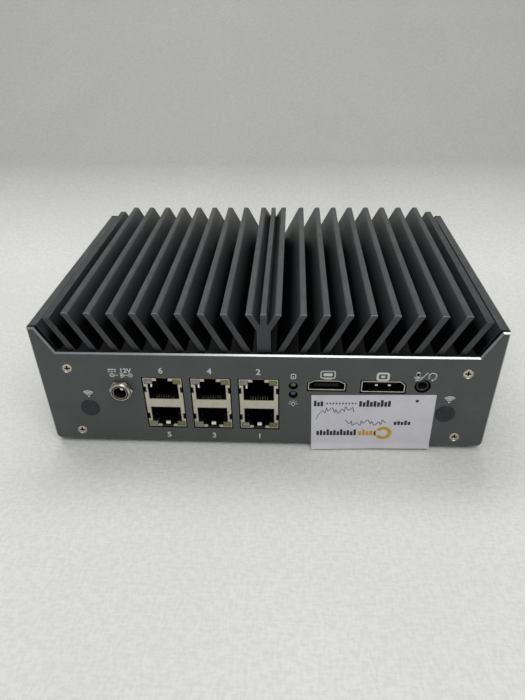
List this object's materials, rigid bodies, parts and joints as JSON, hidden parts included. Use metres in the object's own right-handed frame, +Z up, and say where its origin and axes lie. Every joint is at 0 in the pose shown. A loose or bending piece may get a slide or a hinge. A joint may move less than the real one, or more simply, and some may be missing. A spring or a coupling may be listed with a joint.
{
  "type": "firewall appliance",
  "caption": "Fanless firewall appliance: finned black heatsink housing with grey end panels, network, video and audio sockets in front, and a sprung power button at the rear.",
  "frame": {"origin": "on the table, under the middle of the case", "axes": "+X across the front panel to the right as it is read, +Y from the front panel to the rear panel, +Z up"},
  "size_m": [0.186, 0.1302, 0.0655],
  "materials": {
    "anodised_black": "fine satin anodised, dark, with extrusion lines along the fins",
    "panel_grey": "fine blasted matt finish with a bright milled bevel",
    "cover_black": "fine textured powder coat",
    "screw_steel": "warm nickel plate",
    "screw_black": "black oxide",
    "board_steel": "nickel plate",
    "rubber_black": "matt moulded rubber",
    "paper_white": "matt label paper",
    "plated_nickel": "bright nickel plate",
    "pin_brass": "polished",
    "shield_nickel": "tin-nickel plated sheet",
    "insert_black": "moulded black plastic",
    "contact_gold": "gold flash",
    "light_clear": "clear light lens, unlit",
    "light_lime": "tinted light lens, unlit",
    "light_olive": "tinted lens, unlit",
    "light_teal": "tinted lens, unlit",
    "tongue_blue": "moulded plastic",
    "socket_black": "moulded black plastic",
    "button_steel": "turned and brushed",
    "spring_steel": "drawn wire",
    "board_green": "solder mask",
    "chip_black": "moulded package",
    "pad_grey": "silicone pad",
    "block_aluminium": "machined",
    "cell_steel": "nickel plate"
  },
  "bodies": {
    "case": {"antenna_plugs": "rubber_black", "audio_socket": "socket_black", "board_screws": "board_steel", "board_standoffs": "board_steel", "bottom_cover": "cover_black", "bottom_cover_screws": "screw_black", "cell_holder": "socket_black", "clock_cell": "cell_steel", "console_contacts": "contact_gold", "console_insert": "insert_black", "console_lights": "light_clear", "console_shield": "shield_nickel", "disk_light": "light_olive", "display_socket_shell": "shield_nickel", "display_socket_tongue": "insert_black", "front_panel": "panel_grey", "front_panel_screws": "screw_steel", "heat_block": "block_aluminium", "heatsink_housing": "anodised_black", "inlet_body": "plated_nickel", "inlet_nut": "plated_nickel", "inlet_pin": "pin_brass", "lan_activity_lights_1": "light_lime", "lan_activity_lights_2": "light_lime", "lan_activity_lights_3": "light_lime", "lan_contacts_1": "contact_gold", "lan_contacts_2": "contact_gold", "lan_contacts_3": "contact_gold", "lan_insert_1": "insert_black", "lan_insert_2": "insert_black", "lan_insert_3": "insert_black", "lan_link_lights_1": "light_clear", "lan_link_lights_2": "light_clear", "lan_link_lights_3": "light_clear", "lan_shield_1": "shield_nickel", "lan_shield_2": "shield_nickel", "lan_shield_3": "shield_nickel", "mainboard": "board_green", "memory_module": "board_green", "memory_socket": "socket_black", "paper_label": "paper_white", "power_button_bushing": "button_steel", "power_button_nut": "button_steel", "power_button_spring": "spring_steel", "power_light": "light_teal", "processor": "chip_black", "rear_panel": "panel_grey", "rear_panel_screws": "screw_steel", "rubber_feet": "rubber_black", "ssd_module": "board_green", "ssd_screw": "board_steel", "ssd_socket": "socket_black", "thermal_pad": "pad_grey", "usb_shell_1": "shield_nickel", "usb_shell_2": "shield_nickel", "usb_tongues_1": "tongue_blue", "usb_tongues_2": "tongue_blue", "video_socket_shell": "shield_nickel", "video_socket_tongue": "insert_black"},
    "button": {"power_button": "button_steel"}
  },
  "joints": [
    {"name": "power_button_slide", "type": "slide", "parent": "case", "child": "button", "axis": [0, -1, 0], "range_m": [0, 0.0015], "stiffness_N_per_m": 800, "springref_m": -0.002, "deforming": ["power_button_spring"]}
  ]
}
